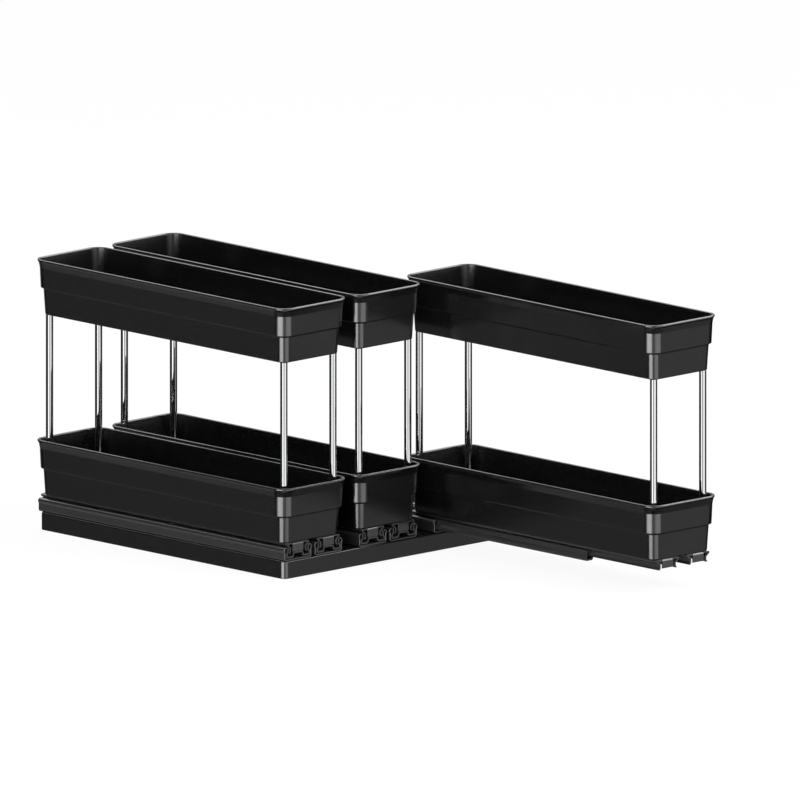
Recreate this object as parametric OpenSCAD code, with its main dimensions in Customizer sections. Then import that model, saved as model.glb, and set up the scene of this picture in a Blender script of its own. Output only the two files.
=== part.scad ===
// Pull-out cabinet rack: three narrow two-tier basket columns side by side on
// a shallow base. Each column rides on two flat-mounted ball-bearing slides.
// Millimetres, +Z up. The origin is the centre of the base at the surface that
// the rack stands on. The columns pull out towards -Y.

/* [Basket] */
// Width over the rim, across the rack
rim_w = 70; // [70:1:110]
// Length over the rim, along the pull
rim_l = 270.8; // [225:0.1:340]
// Height of one basket
basket_h = 42.2; // [36:0.1:60]
// Wall thickness
wall = 1.8; // [1.4:0.1:2]
// Floor thickness
floor_t = 2; // [1.7:0.1:3]
// Plan radius of the rim's corners
rim_r = 11.5; // [9.5:0.1:14]
// Height of the upright lip at the rim
lip_h = 2; // [1.5:0.1:3]
// Width of the lip's flat top
lip_w = 2; // [1.6:0.1:2.6]
// Height of the flare under the lip
flare_h = 4.6; // [3:0.1:6]
// How far the flare steps in from the rim
flare_in = 2.35; // [2:0.05:2.5]
// Draft of the wall between the flare and the ledge
band_draft = 0.75; // [0.3:0.05:0.9]
// Height of the ledge in the wall above the basket's underside
ledge_z = 20.7; // [15:0.1:25]
// How far the wall steps in at the ledge
ledge_in = 1.2; // [0.8:0.1:1.3]
// Draft of the wall below the ledge
foot_draft = 1.3; // [0.6:0.1:1.4]
// Radius of the edge round the underside
foot_round = 0.8; // [0.4:0.1:0.9]
// Free gap between neighbouring rims
column_gap = 7.1; // [4:0.1:30]

/* [Posts] */
// Diameter of a post
post_d = 5.5; // [4.5:0.1:6.6]
// Height from the underside of one basket to the underside of the next
tier_pitch = 136.65; // [90:0.05:220]
// How far the moulded boss under a post stands out past the post
boss_lip = 0.25; // [0:0.05:0.5]
// Plastic left between a boss and the outside of the basket's corner
boss_skin = 0.4; // [0.2:0.05:1]

/* [Slides] */
// How much shorter the slides are than the rim
slide_short = 6.8; // [4:0.1:20]
// Width over one slide
slide_w = 29; // [24:0.5:35]
// Least free gap between the two slides of a column
slide_gap = 2; // [0.5:0.1:6]
// Height from the top of the base to the underside of the lower basket
slide_rise = 13.15; // [11:0.05:16]
// How far the ball races lie below the underside of the lower basket
race_drop = 5.25; // [4.8:0.05:5.4]
// Free margin between the foot's edge and the slide's top web
web_margin = 2; // [1.5:0.1:4]
// Sheet thickness of the outer member
outer_t = 1.1; // [1:0.1:1.2]
// Sheet thickness of the middle member
middle_t = 1.2; // [1:0.1:1.2]
// Sheet thickness of the inner member
inner_t = 1; // [0.9:0.1:1.1]
// Diameter of the balls between the outer and the middle member
outer_ball_d = 2.4; // [2.2:0.1:2.4]
// Diameter of the balls between the middle and the inner member
inner_ball_d = 1.7; // [1.6:0.1:1.7]
// Width of the stop tab at the front of the inner member
tab_w = 10.9; // [8:0.1:12]

/* [Base] */
// Height of the top of the base above what the rack stands on
base_h = 14; // [12:0.5:30]
// Thickness of the base's top plate
plate_t = 2.4; // [2:0.1:4]
// Thickness of the base's skirt
skirt_t = 2.4; // [1.8:0.1:2.5]
// Plan radius inside the corners of the base's skirt
base_inner_r = 0.1; // [0.1:0.1:2]
// How far the outermost slides overhang the base's sides
side_overhang = 0.3; // [0:0.1:2]
// How far the slides overhang the base's back
rear_overhang = 1; // [0:0.1:5]
// How far a closed rim stands in front of the base
front_overhang = 4.4; // [2:0.1:15]
// How far the adhesive pads stand below the skirt
pad_proud = 0.4; // [0.2:0.1:1]

/* [Motion] */
// Full pull-out of a column
pull_travel = 236; // [150:1:240]
// Share of the pull that the middle members make
middle_share = 0.68; // [0.6:0.01:0.7]
// Pull-out of the left, middle and right column as shown
pull_shown = [0, 0, 236];

/* [Hidden] */
$fn = 48;
eps = 0.01;

COLUMNS = ["left", "middle", "right"];
PIECES = [
    "lower_basket", "upper_basket",
    "post_front_left", "post_front_right", "post_rear_left", "post_rear_right",
    "post_screws", "basket_screws",
    "outer_member_left", "outer_member_right",
    "middle_member_left", "middle_member_right",
    "inner_member_left", "inner_member_right",
    "outer_cages", "outer_balls", "inner_cages", "inner_balls"
];
NODES = concat(
    ["base_tray", "adhesive_pads", "slide_screws"],
    [for (column = COLUMNS, piece = PIECES) str(column, "_", piece)]
);
node = "all";

// Plan layout
column_pitch = rim_w + column_gap;
slide_l = rim_l - slide_short;
base_l = slide_l - rear_overhang;
slide_y = rear_overhang / 2;
basket_y = (rim_l - base_l) / 2 - front_overhang;
foot_in = flare_in + band_draft + ledge_in + foot_draft;
foot_w = rim_w - 2 * foot_in;
base_r = skirt_t + base_inner_r;

// Heights
lower_z = base_h + slide_rise;
upper_z = lower_z + tier_pitch;
ledge_rise = 0.8;
boss_h = ledge_z + wall / 2;

// A post stands as far into the basket's corner as its boss can go
boss_r = post_d / 2 + boss_lip;
foot_u = rim_r - foot_in;
post_inset = rim_r - (foot_u - boss_skin - boss_r) / sqrt(2);

// Slide section, measured from the slide's centre line and the base's top
run_gap = 0.05;                 // between a ball and its race
race_gap = 0.1;                 // round a ball in the rolled outer race
groove = 0.15;                  // depth of the grooves rolled in a wall
wall_in = 0.6;                  // the outer wall stands this far inside its race
race_z = slide_rise - race_drop;
outer_ball_r = outer_ball_d / 2;
inner_ball_r = inner_ball_d / 2;
outer_race_r = outer_ball_r + race_gap + outer_t / 2;
outer_ball_x = slide_w / 2 - outer_t - race_gap - outer_ball_r;
outer_wall_x = slide_w / 2 - wall_in - outer_t / 2;
outer_wall_angle = acos((outer_wall_x - outer_ball_x) / outer_race_r);
outer_lip_angle = 105;          // where the rolled edge ends
race_start = 10;                // the race starts this far above the wall's top
race_steps = 6;
middle_wall_x = outer_ball_x - outer_ball_r - run_gap + groove - middle_t / 2;
middle_foot_x = outer_wall_x - outer_t / 2 - 0.5 - middle_t / 2;
middle_floor_z = outer_t + 0.8 + middle_t / 2;
middle_depth = race_z - middle_floor_z;
middle_centre_z = middle_floor_z + 0.57 * middle_depth;
middle_knee_z = middle_floor_z + 0.39 * middle_depth;
middle_hip_z = middle_floor_z + 0.72 * middle_depth;
middle_top_z = race_z + 2;
raise_top_x = 4.4;              // half width of the raised middle, at its top
raise_low_x = 5.4;              // and at the floor beside it
inner_ball_x = middle_wall_x - middle_t / 2 + groove - run_gap - inner_ball_r;
inner_wall_x = inner_ball_x - inner_ball_r - run_gap + groove - inner_t / 2;
web_half = inner_wall_x + inner_t / 2 + 3.4;
web_z = slide_rise - inner_t / 2;
inner_foot_z = middle_centre_z - 0.1;
tab_notch = 2.5;                // length of the notch in the web under the tab
tab_root = 3;                   // where the tab starts in the web, past the notch
tab_bend_r = 1;
tab_gap = 0.2;                  // between the tab and the middle member
slide_pitch = max(foot_w - 2 * web_margin - 2 * web_half, slide_w + slide_gap);

// The base follows the slides that it carries
base_w = 2 * column_pitch + slide_pitch + slide_w - 2 * side_overhang;

// Screws, and the holes that take them
screw_r = 1.25;
hole_r = screw_r + run_gap;
head_r = 2.3;
pan_r = 2.6;
pan_h = 1.7;
head_h = head_r - screw_r;
post_bite = 8;                  // length of a screw inside a post
post_bore = post_bite + 2;
plate_bite = 8;                 // length of a screw inside the base
screw_inset = 32;               // of the outer screw rows from the slide's ends
fixing_r = 2.2;                 // holes that fix the base to a shelf
fixing_head_r = 4.2;
fixing_inset = 21.5;            // of those holes from the base's front and back

// Underside of the base
rib_t = 1.8;
rib_lift = 1;                   // ribs stop this far above the skirt's edge
block = 26;                     // square block over an adhesive pad
pad = 20;
pad_t = 1;
pad_gap = 0.3;
pad_inset = 37;                 // of the outer pads from the base's front and back
screw_boss_r = 3.5;
fixing_boss_r = 5;

// Ball cages
cage_t = 0.5;
cage_band = 0.5;                // metal left past a pocket
pocket_gap = 0.1;
outer_balls_n = 6;
inner_balls_n = 8;
outer_cage_over = 1.25;         // length of a cage over the middle members' lag
inner_cage_part = 0.55;         // length of a cage over the slide's
outer_cage_l = (1 - middle_share) * pull_travel * outer_cage_over;
inner_cage_l = inner_cage_part * slide_l;

// ---- Outlines -------------------------------------------------------------

bend_steps = 2;

function unit(v) = v / norm(v);
function left_of(v) = [-v.y, v.x];
function turned(v, a) = [v.x * cos(a) - v.y * sin(a), v.x * sin(a) + v.y * cos(a)];
function flat(p) = [p.x, p.y];
function mirrored(path) = [for (i = [len(path) - 1 : -1 : 0]) [-path[i].x, path[i].y]];

// Points of the bend of radius r that rounds the corner b between a and c
function bend(a, b, c, r) =
    let (
        into = unit(b - a),
        out = unit(c - b),
        side = cross(into, out) > 0 ? 1 : -1,
        turn = acos(into * out),
        inward = side * left_of(into),
        start = b - into * r * tan(turn / 2),
        centre = start + inward * r
    )
    [for (k = [0 : bend_steps]) centre + turned(-inward * r, side * turn * k / bend_steps)];

// A path of [x, y, radius] points with its corners rounded
function rounded(p) = [
    for (i = [0 : len(p) - 1])
        each (i == 0 || i == len(p) - 1 || p[i].z == 0)
            ? [flat(p[i])]
            : bend(flat(p[i - 1]), flat(p[i]), flat(p[i + 1]), p[i].z)
];

function along(p, i) = unit(p[i + 1] - p[i]);
function mitre(p, i) =
    let (
        last = len(p) - 1,
        before = left_of(along(p, max(i - 1, 0))),
        after = left_of(along(p, min(i, last - 1))),
        middle = unit(before + after)
    )
    middle / (middle * after);

// The outline of sheet metal of thickness t bent along an open path
function sheet(p, t) = concat(
    [for (i = [0 : len(p) - 1]) p[i] + mitre(p, i) * t / 2],
    [for (i = [len(p) - 1 : -1 : 0]) p[i] - mitre(p, i) * t / 2]
);

function race_arc(from, to, steps) = [
    for (k = [0 : steps])
        let (a = from + (to - from) * k / steps)
        [outer_ball_x + outer_race_r * cos(a), race_z + outer_race_r * sin(a)]
];

// Half sections of the three members, from the centre line outwards
outer_half = concat(
    rounded([[0, outer_t / 2, 0], [outer_wall_x, outer_t / 2, 1.1],
             [outer_wall_x, race_z - outer_race_r * sin(outer_wall_angle), 0]]),
    race_arc(race_start - outer_wall_angle, outer_lip_angle, race_steps)
);
middle_half = rounded([
    [0, middle_centre_z, 0],
    [raise_top_x, middle_centre_z, 0.7],
    [raise_low_x, middle_floor_z, 0.7],
    [middle_foot_x, middle_floor_z, 0.8],
    [middle_foot_x, middle_knee_z, 0.5],
    [middle_wall_x, middle_hip_z, 0.5],
    [middle_wall_x, middle_top_z, 0]
]);
inner_half = rounded([
    [0, web_z, 0],
    [web_half, web_z, 0.5],
    [inner_wall_x, race_z + 1.5, 0.8],
    [inner_wall_x, race_z - 1.2, 0.8],
    [inner_wall_x + 1.2, inner_foot_z, 0]
]);

function whole(half) = concat(mirrored(half), [for (i = [1 : len(half) - 1]) half[i]]);

// Basket wall and the strip of floor beside it, outwards from the corner's axis
ledge_low_u = foot_u + foot_draft;
ledge_high_u = ledge_low_u + ledge_in;
flare_u = ledge_high_u + band_draft;
lip_z = basket_h - lip_h;
flare_z = lip_z - flare_h;
basket_outline = rounded([
    [0, 0, 0],
    [foot_u, 0, foot_round],
    [ledge_low_u, ledge_z - ledge_rise, 0.3],
    [ledge_high_u, ledge_z, 0.3],
    [flare_u, flare_z, 1.5],
    [rim_r, lip_z, 0.4],
    [rim_r, basket_h, 0.5],
    [rim_r - lip_w, basket_h, 0.5],
    [rim_r - lip_w, lip_z - 0.4, 0.8],
    [flare_u - wall, flare_z - 0.4, 1.5],
    [ledge_high_u - wall, boss_h, 0.3],
    [ledge_low_u - wall, boss_h - ledge_rise, 0.3],
    [foot_u - wall + 0.1, floor_t, 1.2],
    [0, floor_t, 0]
]);

// Base skirt and the edge of its top plate, outwards from the corner's axis
base_outline = rounded([
    [0, base_h - plate_t, 0],
    [base_inner_r, base_h - plate_t, 0],
    [base_inner_r, pad_proud, 0],
    [base_r, pad_proud, 0.4],
    [base_r, base_h, 0.8],
    [0, base_h, 0]
]);

// ---- Placing --------------------------------------------------------------

function column_x(c) = (c - 1) * column_pitch;

// Stands things on column c, moved by a share of the column's pull
module in_column(c, share) {
    translate([column_x(c), -share * pull_shown[c], 0]) children();
}

module on_slide(side) {
    translate([side * slide_pitch / 2, slide_y, base_h]) children();
}

module on_both_slides() {
    for (side = [-1, 1]) on_slide(side) children();
}

module in_post_places() {
    for (sx = [-1, 1], sy = [-1, 1]) translate([post_x(sx), post_y(sy), 0]) children();
}

function post_x(sx) = sx * (rim_w / 2 - post_inset);
function post_y(sy) = basket_y + sy * (rim_l / 2 - post_inset);

// Extrudes a flat section of a slide along the pull, centred
module along_pull(length) {
    rotate([90, 0, 0]) linear_extrude(length, center = true) children();
}

// A moulded frame: one outline round a rectangle, swept round the corners
module swept_frame(w, l, r, outline) {
    for (q = [0 : 3]) {
        span = q % 2 == 0 ? l - 2 * r : w - 2 * r;
        reach = q % 2 == 0 ? w / 2 - r : l / 2 - r;
        rotate([0, 0, 90 * q]) {
            translate([reach, 0, 0]) rotate([90, 0, 0])
                linear_extrude(span, center = true) polygon(outline);
            translate([reach, span / 2, 0]) rotate_extrude(angle = 90) polygon(outline);
        }
    }
}

module slab(w, l, z0, z1) {
    translate([-w / 2, -l / 2, z0]) cube([w, l, z1 - z0]);
}

// Stands things in the three screw rows of a slide
module at_screw_rows() {
    for (row = [-1 : 1]) translate([0, row * (slide_l / 2 - screw_inset), 0]) children();
}

// ---- Baskets and posts ----------------------------------------------------

module post_hole() {
    translate([0, 0, -eps]) cylinder(r = hole_r, h = boss_h + 2 * eps);
    translate([0, 0, -eps]) cylinder(r1 = head_r + run_gap, r2 = hole_r, h = head_h + run_gap);
    translate([0, 0, boss_h + eps - head_h - run_gap])
        cylinder(r1 = hole_r, r2 = head_r + run_gap, h = head_h + run_gap);
}

module basket_hole() {
    translate([0, 0, -eps]) cylinder(r = hole_r, h = floor_t + 2 * eps);
    translate([0, 0, floor_t + eps - head_h - run_gap])
        cylinder(r1 = hole_r, r2 = head_r + run_gap, h = head_h + run_gap);
}

module basket(z, screwed_to_slides) {
    color("#262626") translate([0, 0, z]) difference() {
        union() {
            translate([0, basket_y, 0]) {
                swept_frame(rim_w, rim_l, rim_r, basket_outline);
                slab(rim_w - 2 * rim_r, rim_l - 2 * rim_r, 0, floor_t);
            }
            in_post_places() translate([0, 0, floor_t / 2])
                cylinder(r = boss_r, h = boss_h - floor_t / 2);
        }
        in_post_places() post_hole();
        if (screwed_to_slides)
            for (side = [-1, 1]) translate([side * slide_pitch / 2, slide_y, 0])
                at_screw_rows() basket_hole();
    }
}

module post(c, sx, sy) {
    post_l = tier_pitch - boss_h;
    color("#d8dade") in_column(c, 1) translate([post_x(sx), post_y(sy), lower_z + boss_h])
        difference() {
            cylinder(d = post_d, h = post_l);
            translate([0, 0, -eps]) cylinder(r = hole_r, h = post_bore);
            translate([0, 0, post_l - post_bore]) cylinder(r = hole_r, h = post_bore + eps);
        }
}

// A countersunk screw that points up, with its head's face at z = 0
module countersunk_screw(length) {
    cylinder(r1 = head_r, r2 = screw_r, h = head_h);
    translate([0, 0, head_h - eps]) cylinder(r = screw_r, h = length - head_h + eps);
}

module post_screws(c) {
    color("#8d9094") in_column(c, 1) in_post_places() {
        translate([0, 0, lower_z]) countersunk_screw(boss_h + post_bite);
        translate([0, 0, upper_z + boss_h]) mirror([0, 0, 1])
            countersunk_screw(boss_h + post_bite);
    }
}

module basket_screws(c) {
    color("#8d9094") in_column(c, 1) on_both_slides() at_screw_rows()
        translate([0, 0, slide_rise + floor_t]) mirror([0, 0, 1])
            countersunk_screw(floor_t + inner_t + 1);
}

// ---- Slides ---------------------------------------------------------------

module outer_member(c, side) {
    color("#1c1c1c") in_column(c, 0) on_slide(side) difference() {
        along_pull(slide_l) polygon(sheet(whole(outer_half), outer_t));
        at_screw_rows() translate([0, 0, -eps]) cylinder(r = hole_r, h = outer_t + 2 * eps);
    }
}

module middle_member(c, side) {
    color("#303030") in_column(c, middle_share) on_slide(side)
        along_pull(slide_l) difference() {
            polygon(sheet(whole(middle_half), middle_t));
            for (m = [-1, 1]) {
                translate([m * outer_ball_x, race_z]) circle(r = outer_ball_r + run_gap);
                translate([m * inner_ball_x, race_z]) circle(r = inner_ball_r + run_gap);
            }
        }
}

// The tab bent down from the inner member's web at its front end
module stop_tab() {
    path = rounded([
        [tab_root, web_z, 0],
        [inner_t / 2, web_z, tab_bend_r],
        [inner_t / 2, middle_centre_z + middle_t / 2 + tab_gap, 0]
    ]);
    translate([0, -slide_l / 2, 0]) rotate([90, 0, 90])
        linear_extrude(tab_w, center = true) polygon(sheet(path, inner_t));
}

module inner_member(c, side) {
    color("#242424") in_column(c, 1) on_slide(side) difference() {
        union() {
            difference() {
                along_pull(slide_l) difference() {
                    polygon(sheet(whole(inner_half), inner_t));
                    for (m = [-1, 1]) translate([m * inner_ball_x, race_z])
                        circle(r = inner_ball_r + run_gap);
                }
                translate([-tab_w / 2, -slide_l / 2 - 1, web_z - inner_t])
                    cube([tab_w, tab_notch + 1, 2 * inner_t]);
            }
            stop_tab();
        }
        at_screw_rows() translate([0, 0, web_z - inner_t]) cylinder(r = hole_r, h = 2 * inner_t);
    }
}

// Balls of one row, evenly spread over a cage
module ball_row(x, r, count, length) {
    for (k = [0 : count - 1])
        translate([x, (k - (count - 1) / 2) * length / count, race_z]) sphere(r = r);
}

// A strip with one pocket for each ball, open towards the ball race's edge
module cage(x, r, count, length, z0, z1) {
    difference() {
        translate([x - cage_t / 2, -length / 2, z0]) cube([cage_t, length, z1 - z0]);
        for (k = [0 : count - 1])
            translate([x, (k - (count - 1) / 2) * length / count, race_z])
                rotate([0, 90, 0]) cylinder(r = r + pocket_gap, h = 2 * cage_t, center = true);
    }
}

outer_cage_share = middle_share / 2;
inner_cage_share = (1 + middle_share) / 2;

module outer_cages(c) {
    color("#b9b9b4") in_column(c, outer_cage_share) on_both_slides() for (m = [-1, 1])
        cage(m * outer_ball_x, outer_ball_r, outer_balls_n, outer_cage_l,
             race_z - outer_ball_r - pocket_gap - cage_band, race_z + outer_ball_r - 0.1);
}

module outer_balls(c) {
    color("#c9ccd0") in_column(c, outer_cage_share) on_both_slides() for (m = [-1, 1])
        ball_row(m * outer_ball_x, outer_ball_r, outer_balls_n, outer_cage_l);
}

module inner_cages(c) {
    color("#b9b9b4") in_column(c, inner_cage_share) on_both_slides() for (m = [-1, 1])
        cage(m * inner_ball_x, inner_ball_r, inner_balls_n, inner_cage_l,
             race_z - inner_ball_r / 2, race_z + inner_ball_r + pocket_gap + cage_band);
}

module inner_balls(c) {
    color("#c9ccd0") in_column(c, inner_cage_share) on_both_slides() for (m = [-1, 1])
        ball_row(m * inner_ball_x, inner_ball_r, inner_balls_n, inner_cage_l);
}

// ---- Base -----------------------------------------------------------------

module in_pad_places() {
    for (c = [0 : 2], row = [-1 : 1]) translate([column_x(c), pad_y(row), 0]) children();
}

function pad_y(row) = row * (base_l / 2 - pad_inset);

module in_slide_screw_places() {
    for (c = [0 : 2]) translate([column_x(c), 0, 0]) on_both_slides() at_screw_rows() children();
}

module in_fixing_places() {
    for (sx = [-1, 1], sy = [-1, 1])
        translate([sx * column_pitch / 2, sy * (base_l / 2 - fixing_inset), 0]) children();
}

module base_ribs() {
    rib_z = pad_proud + rib_lift;
    for (half_pitch = [-2 : 2]) translate([half_pitch * column_pitch / 2, 0, 0])
        slab(rib_t, base_l - 2 * skirt_t, rib_z, base_h - plate_t);
    for (row = [-1 : 1]) translate([0, pad_y(row), 0])
        slab(base_w - 2 * skirt_t, rib_t, rib_z, base_h - plate_t);
}

module base_tray() {
    color("#2a2a2a") difference() {
        union() {
            swept_frame(base_w, base_l, base_r, base_outline);
            slab(base_w - 2 * base_r, base_l - 2 * base_r, base_h - plate_t, base_h);
            base_ribs();
            in_pad_places() slab(block, block, pad_proud, base_h - plate_t);
            in_slide_screw_places() translate([0, 0, -plate_t - plate_bite])
                cylinder(r = screw_boss_r, h = plate_bite + eps);
            in_fixing_places() translate([0, 0, pad_proud])
                cylinder(r = fixing_boss_r, h = base_h - plate_t - pad_proud + eps);
        }
        in_pad_places() slab(pad + 2 * pad_gap, pad + 2 * pad_gap, -eps, pad_t);
        in_slide_screw_places() translate([0, 0, -plate_bite - 1])
            cylinder(r = hole_r, h = plate_bite + 1 + eps);
        in_fixing_places() {
            cylinder(r = fixing_r, h = base_h + eps);
            translate([0, 0, base_h - (fixing_head_r - fixing_r)])
                cylinder(r1 = fixing_r, r2 = fixing_head_r, h = fixing_head_r - fixing_r + eps);
        }
    }
}

module adhesive_pads() {
    color("#0e0e0e") in_pad_places() slab(pad, pad, 0, pad_t);
}

module slide_screws() {
    color("#8d9094") in_slide_screw_places() {
        translate([0, 0, outer_t]) cylinder(r = pan_r, h = pan_h);
        translate([0, 0, -plate_bite]) cylinder(r = screw_r, h = plate_bite + outer_t + eps);
    }
}

// ---- Drawing --------------------------------------------------------------

function shows(name) = node == "all" || node == name;
function column_shows(c, piece) = shows(str(COLUMNS[c], "_", piece));

if (shows("base_tray")) base_tray();
if (shows("adhesive_pads")) adhesive_pads();
if (shows("slide_screws")) slide_screws();
for (c = [0 : 2]) {
    if (column_shows(c, "lower_basket")) in_column(c, 1) basket(lower_z, true);
    if (column_shows(c, "upper_basket")) in_column(c, 1) basket(upper_z, false);
    if (column_shows(c, "post_front_left")) post(c, -1, -1);
    if (column_shows(c, "post_front_right")) post(c, 1, -1);
    if (column_shows(c, "post_rear_left")) post(c, -1, 1);
    if (column_shows(c, "post_rear_right")) post(c, 1, 1);
    if (column_shows(c, "post_screws")) post_screws(c);
    if (column_shows(c, "basket_screws")) basket_screws(c);
    if (column_shows(c, "outer_member_left")) outer_member(c, -1);
    if (column_shows(c, "outer_member_right")) outer_member(c, 1);
    if (column_shows(c, "middle_member_left")) middle_member(c, -1);
    if (column_shows(c, "middle_member_right")) middle_member(c, 1);
    if (column_shows(c, "inner_member_left")) inner_member(c, -1);
    if (column_shows(c, "inner_member_right")) inner_member(c, 1);
    if (column_shows(c, "outer_cages")) outer_cages(c);
    if (column_shows(c, "outer_balls")) outer_balls(c);
    if (column_shows(c, "inner_cages")) inner_cages(c);
    if (column_shows(c, "inner_balls")) inner_balls(c);
}
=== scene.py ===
"""The looks of a pull-out cabinet rack: three two-tier baskets on slides and a base.

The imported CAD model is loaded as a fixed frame. Each shell, post, slide member and
screw is modelled here in millimetres, set down where the frame has it and dressed in
a procedural finish. The balls, their cages and the pads are the frame's own meshes.
"""

from __future__ import annotations

import logging
import math
from dataclasses import dataclass, field
from enum import Enum
from typing import Any, Iterable, Sequence, Union

import bmesh
import bpy
from mathutils import Matrix, Vector

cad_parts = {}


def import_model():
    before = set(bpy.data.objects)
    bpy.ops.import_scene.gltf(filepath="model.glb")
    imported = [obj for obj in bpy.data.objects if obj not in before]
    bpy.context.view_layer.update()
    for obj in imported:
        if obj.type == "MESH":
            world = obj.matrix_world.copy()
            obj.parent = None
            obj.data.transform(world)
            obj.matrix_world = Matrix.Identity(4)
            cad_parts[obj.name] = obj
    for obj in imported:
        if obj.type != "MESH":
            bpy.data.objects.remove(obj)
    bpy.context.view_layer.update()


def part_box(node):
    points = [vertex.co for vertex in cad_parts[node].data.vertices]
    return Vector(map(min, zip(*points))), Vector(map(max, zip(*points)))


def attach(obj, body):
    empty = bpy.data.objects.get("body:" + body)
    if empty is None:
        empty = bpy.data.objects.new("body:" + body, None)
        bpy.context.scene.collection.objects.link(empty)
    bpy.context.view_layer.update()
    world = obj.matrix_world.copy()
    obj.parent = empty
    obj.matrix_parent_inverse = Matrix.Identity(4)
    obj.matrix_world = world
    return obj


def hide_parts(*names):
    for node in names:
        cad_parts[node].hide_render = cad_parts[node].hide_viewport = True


MM = 0.001
ORIGIN = Vector((0.0, 0.0, 0.0))
ROUND_STEPS = 48
CORNER_STEPS = 16
BEND_STEPS = 4
NEAR = 1e-3  # places nearer than this, in millimetres, count as one
WELD = 1e-4  # points nearer than this are merged
PAST = 0.5  # how far a cutter reaches past the face that it opens

log = logging.getLogger("rack")

Colour = tuple[float, float, float]
Face = bmesh.types.BMFace
Edge = bmesh.types.BMEdge


def upright(z: float) -> Vector:
    """The way up to a height."""
    return Vector((0, 0, z))


# ---- Shader maths -------------------------------------------------------------------


class Wire:
    """A shader value that Python's own signs work on."""

    def __init__(self, board: Board, socket: bpy.types.NodeSocket) -> None:
        """Wraps an output socket.

        Args:
            board: The node tree that the socket is in.
            socket: The output that carries the value.
        """
        self.board = board
        self.socket = socket

    def _maths(self, operation: str, first: Operand, second: Operand) -> Wire:
        """Adds one Math node.

        Args:
            operation: The Math node's operation.
            first: Its first value or wire.
            second: Its second value or wire.

        Returns:
            The node's result.
        """
        return self.board.add(
            "ShaderNodeMath", {"operation": operation}, {0: first, 1: second}
        )

    def __add__(self, other: Operand) -> Wire:
        """This value plus another."""
        return self._maths("ADD", self, other)

    def __radd__(self, other: Operand) -> Wire:
        """Another value plus this one."""
        return self._maths("ADD", other, self)

    def __sub__(self, other: Operand) -> Wire:
        """This value less another."""
        return self._maths("SUBTRACT", self, other)

    def __rsub__(self, other: Operand) -> Wire:
        """Another value less this one."""
        return self._maths("SUBTRACT", other, self)

    def __mul__(self, other: Operand) -> Wire:
        """This value times another."""
        return self._maths("MULTIPLY", self, other)

    def __rmul__(self, other: Operand) -> Wire:
        """Another value times this one."""
        return self._maths("MULTIPLY", other, self)


Operand = Union[float, Wire]


class Board:
    """The node tree of one material or world."""

    def __init__(self, tree: bpy.types.NodeTree) -> None:
        """Clears a node tree for a new shader.

        Args:
            tree: The tree of the material or world.
        """
        self.tree = tree
        tree.nodes.clear()

    def add(
        self,
        kind: str,
        settings: dict[str, Any] | None = None,
        inputs: dict[Any, Any] | None = None,
        output: int | str = 0,
    ) -> Wire:
        """Adds any node.

        Args:
            kind: The node's type.
            settings: Its own settings, which are set first.
            inputs: Values or wires for its sockets, by number or name.
            output: The output that is returned.

        Returns:
            The chosen output of the node.
        """
        node = self.tree.nodes.new(kind)
        for name, value in (settings or {}).items():
            setattr(node, name, value)
        for name, value in (inputs or {}).items():
            if isinstance(value, Wire):
                self.tree.links.new(value.socket, node.inputs[name])
            else:
                node.inputs[name].default_value = value
        return Wire(self, node.outputs[output])

    def end(self, kind: str, surface: Wire) -> None:
        """Adds the output node.

        Args:
            kind: The output node's type.
            surface: What it shows.
        """
        self.tree.links.new(surface.socket, self.tree.nodes.new(kind).inputs["Surface"])

    def place(self) -> Wire:
        """The object's own coordinates, in metres."""
        return self.add("ShaderNodeTexCoord", output="Object")

    def noise(self, size: float, detail: float = 2.0, stretch: Vector | None = None) -> Wire:
        """Noise around a half.

        Args:
            size: The size of its patches in millimetres.
            detail: How many finer layers it has.
            stretch: Scales of the pattern along X, Y and Z.

        Returns:
            The noise's factor.
        """
        at = self.place()
        if stretch is not None:
            at = self.add("ShaderNodeMapping", None, {"Vector": at, "Scale": stretch})
        return self.add(
            "ShaderNodeTexNoise",
            None,
            {"Vector": at, "Scale": 1 / (size * MM), "Detail": detail},
        )

    def tint(self, factor: Wire, dark: Colour, light: Colour) -> Wire:
        """Mixes two colours.

        Args:
            factor: 0 for the first colour and 1 for the second.
            dark: The first colour.
            light: The second colour.

        Returns:
            The mixed colour.
        """
        return self.add(
            "ShaderNodeMix",
            {"data_type": "RGBA"},
            {0: factor, 6: (*dark, 1.0), 7: (*light, 1.0)},
            output=2,
        )

    def bump(self, height: Wire, depth: float) -> Wire:
        """Turns a height into a surface normal.

        Args:
            height: The pattern, from 0 to 1.
            depth: The relief's full depth in millimetres.

        Returns:
            The bumped normal.
        """
        return self.add(
            "ShaderNodeBump", None, {"Strength": 1.0, "Distance": depth * MM, "Height": height}
        )


# ---- Finishes -----------------------------------------------------------------------


def scaled(colour: Colour, share: float) -> Colour:
    """A colour made darker or lighter by a factor."""
    return (colour[0] * share, colour[1] * share, colour[2] * share)


def around(colour: Colour, spread: float) -> tuple[Colour, Colour]:
    """A colour made darker and lighter by the same share."""
    return scaled(colour, 1 - spread), scaled(colour, 1 + spread)


@dataclass(frozen=True)
class Finish:
    """What every finish of the rack has: a name, the record's slot and its main values."""

    name: str
    slot: str
    colour: Colour
    roughness: float
    metallic: float = 0.0
    specular: float = 0.5

    def material(self) -> bpy.types.Material:
        """The finish as a material, made when it is first asked for.

        Returns:
            The material.
        """
        found = bpy.data.materials.get(self.name)
        if found is not None:
            return found
        made = bpy.data.materials.new(self.name)
        made.use_nodes = True
        board = Board(made.node_tree)
        shader = board.add(
            "ShaderNodeBsdfPrincipled",
            None,
            {
                "Metallic": self.metallic,
                "Specular IOR Level": self.specular,
                **self.surface(board),
            },
        )
        board.end("ShaderNodeOutputMaterial", shader)
        return made

    def surface(self, board: Board) -> dict[str, Any]:
        """What varies over the surface.

        Args:
            board: The material's nodes.

        Returns:
            Values and wires for the shader's colour, roughness and normal.
        """
        raise NotImplementedError


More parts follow.
